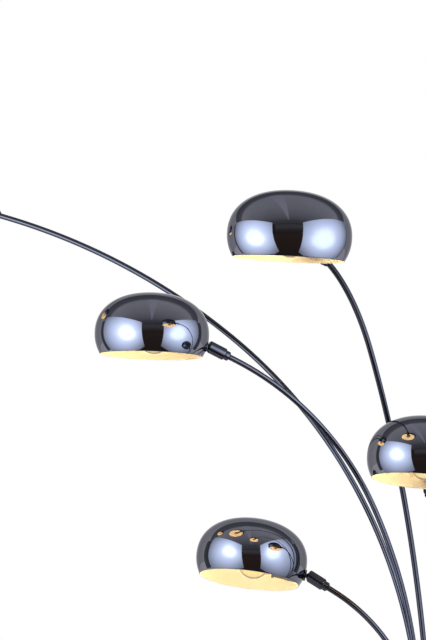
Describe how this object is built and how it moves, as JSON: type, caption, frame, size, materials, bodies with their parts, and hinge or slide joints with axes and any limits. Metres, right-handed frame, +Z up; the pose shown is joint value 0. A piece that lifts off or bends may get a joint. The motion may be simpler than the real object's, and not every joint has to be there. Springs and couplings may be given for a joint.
{
  "type": "floor lamp",
  "caption": "Tree floor lamp: a round stone foot, one stem and a hub with arched tube arms, each ending in a ball joint and a domed shade.",
  "frame": {"origin": "centre of the foot's underside, on the floor", "axes": "+Z up the stem; the longest arm reaches towards -X, and the picture looks along +Y"},
  "size_m": [1.1647, 0.8196, 2.0825],
  "materials": {
    "shade_metal": "spun aluminium, black chrome plated outside, white painted inside",
    "black_chrome": "black chrome plated steel tube",
    "joint_metal": "turned steel, black chrome plated",
    "nut_steel": "zinc plated steel",
    "holder_plastic": "moulded, heat resistant",
    "bulb_glass": "opal globe",
    "lead_sheath": "black flexible sheath",
    "gland_rubber": "black rubber",
    "terminal_plastic": "moulded",
    "foot_stone": "polished black marble",
    "foot_steel": "black powder coat",
    "foot_felt": "black felt"
  },
  "bodies": {
    "stand": {"foot_felt": "foot_felt", "foot_plate": "foot_steel", "foot_stone": "foot_stone", "foot_bolt": "nut_steel", "stem_rose": "joint_metal", "cord_gland": "gland_rubber", "stem_tube": "black_chrome", "hub_cup": "joint_metal", "hub_block": "joint_metal", "terminal_block": "terminal_plastic"},
    "arm_1": {"arm_1_tube": "black_chrome", "arm_1_lead": "lead_sheath", "arm_1_pivot": "nut_steel", "arm_1_ferrule": "joint_metal"},
    "knuckle_1": {"barrel_1": "joint_metal"},
    "head_1": {"ball_neck_1": "joint_metal", "shade_1": "shade_metal", "shade_1_nut": "nut_steel", "lampholder_1": "holder_plastic", "bulb_1": "bulb_glass"},
    "arm_2": {"arm_2_tube": "black_chrome", "arm_2_lead": "lead_sheath", "arm_2_pivot": "nut_steel", "arm_2_ferrule": "joint_metal"},
    "knuckle_2": {"barrel_2": "joint_metal"},
    "head_2": {"ball_neck_2": "joint_metal", "shade_2": "shade_metal", "shade_2_nut": "nut_steel", "lampholder_2": "holder_plastic", "bulb_2": "bulb_glass"},
    "arm_3": {"arm_3_tube": "black_chrome", "arm_3_lead": "lead_sheath", "arm_3_pivot": "nut_steel", "arm_3_ferrule": "joint_metal"},
    "knuckle_3": {"barrel_3": "joint_metal"},
    "head_3": {"ball_neck_3": "joint_metal", "shade_3": "shade_metal", "shade_3_nut": "nut_steel", "lampholder_3": "holder_plastic", "bulb_3": "bulb_glass"},
    "arm_4": {"arm_4_tube": "black_chrome", "arm_4_lead": "lead_sheath", "arm_4_pivot": "nut_steel", "arm_4_ferrule": "joint_metal"},
    "knuckle_4": {"barrel_4": "joint_metal"},
    "head_4": {"ball_neck_4": "joint_metal", "shade_4": "shade_metal", "shade_4_nut": "nut_steel", "lampholder_4": "holder_plastic", "bulb_4": "bulb_glass"},
    "arm_5": {"arm_5_tube": "black_chrome", "arm_5_lead": "lead_sheath", "arm_5_pivot": "nut_steel", "arm_5_ferrule": "joint_metal"},
    "knuckle_5": {"barrel_5": "joint_metal"},
    "head_5": {"ball_neck_5": "joint_metal", "shade_5": "shade_metal", "shade_5_nut": "nut_steel", "lampholder_5": "holder_plastic", "bulb_5": "bulb_glass"}
  },
  "joints": [
    {"name": "arm_1_swivel", "type": "hinge", "parent": "stand", "child": "arm_1", "pos_m": [-0.00313, 0.01773, 0.91], "axis": [0, 0, 1], "range_deg": [-60, 20]},
    {"name": "shade_1_roll", "type": "hinge", "parent": "arm_1", "child": "knuckle_1", "pos_m": [-0.76975, 0.06999, 1.98677], "axis": [-0.951, 0.0648, 0.3024], "range_deg": [-45, 45]},
    {"name": "shade_1_tilt", "type": "hinge", "parent": "knuckle_1", "child": "head_1", "pos_m": [-0.80598, 0.07246, 1.99829], "axis": [-0.068, -0.9977, 0], "range_deg": [-18.5, 31.5]},
    {"name": "arm_2_swivel", "type": "hinge", "parent": "stand", "child": "arm_2", "pos_m": [0.01295, -0.0125, 0.91], "axis": [0, 0, 1], "range_deg": [-5, 10]},
    {"name": "shade_2_roll", "type": "hinge", "parent": "arm_2", "child": "knuckle_2", "pos_m": [-0.18188, -0.4102, 1.79125], "axis": [-0.4216, -0.8606, 0.2857], "range_deg": [-45, 45]},
    {"name": "shade_2_tilt", "type": "hinge", "parent": "knuckle_2", "child": "head_2", "pos_m": [-0.19794, -0.44299, 1.80213], "axis": [0.8744, -0.4693, -0.1234], "range_deg": [-21.5, 28.5]},
    {"name": "arm_3_swivel", "type": "hinge", "parent": "stand", "child": "arm_3", "pos_m": [-0.00789, -0.01618, 0.91], "axis": [0, 0, 1], "range_deg": [-20, 25]},
    {"name": "shade_3_roll", "type": "hinge", "parent": "arm_3", "child": "knuckle_3", "pos_m": [-0.34181, -0.13312, 1.68184], "axis": [-0.8655, -0.3031, 0.3987], "range_deg": [-45, 45]},
    {"name": "shade_3_tilt", "type": "hinge", "parent": "knuckle_3", "child": "head_3", "pos_m": [-0.37479, -0.14466, 1.69704], "axis": [0.2901, -0.9523, -0.0943], "range_deg": [-21.4, 28.6]},
    {"name": "arm_4_swivel", "type": "hinge", "parent": "stand", "child": "arm_4", "pos_m": [0.01589, 0.00845, 0.91], "axis": [0, 0, 1], "range_deg": [0, 60]},
    {"name": "shade_4_roll", "type": "hinge", "parent": "arm_4", "child": "knuckle_4", "pos_m": [0.00509, -0.13864, 1.43523], "axis": [-0.053, -0.7222, 0.6896], "range_deg": [-30, 45]},
    {"name": "shade_4_tilt", "type": "hinge", "parent": "knuckle_4", "child": "head_4", "pos_m": [0.00307, -0.16615, 1.4615], "axis": [0.9834, -0.1577, -0.0895], "range_deg": [-22.9, 10.1]},
    {"name": "arm_5_swivel", "type": "hinge", "parent": "stand", "child": "arm_5", "pos_m": [-0.01783, 0.0025, 0.91], "axis": [0, 0, 1], "range_deg": [-30, 50]},
    {"name": "shade_5_roll", "type": "hinge", "parent": "arm_5", "child": "knuckle_5", "pos_m": [-0.16445, 0.01019, 1.2873], "axis": [-0.8422, 0.0441, 0.5373], "range_deg": [-45, 45]},
    {"name": "shade_5_tilt", "type": "hinge", "parent": "knuckle_5", "child": "head_5", "pos_m": [-0.19654, 0.01187, 1.30777], "axis": [0.0163, -0.9941, 0.1072], "range_deg": [-23.3, 26.7]}
  ]
}
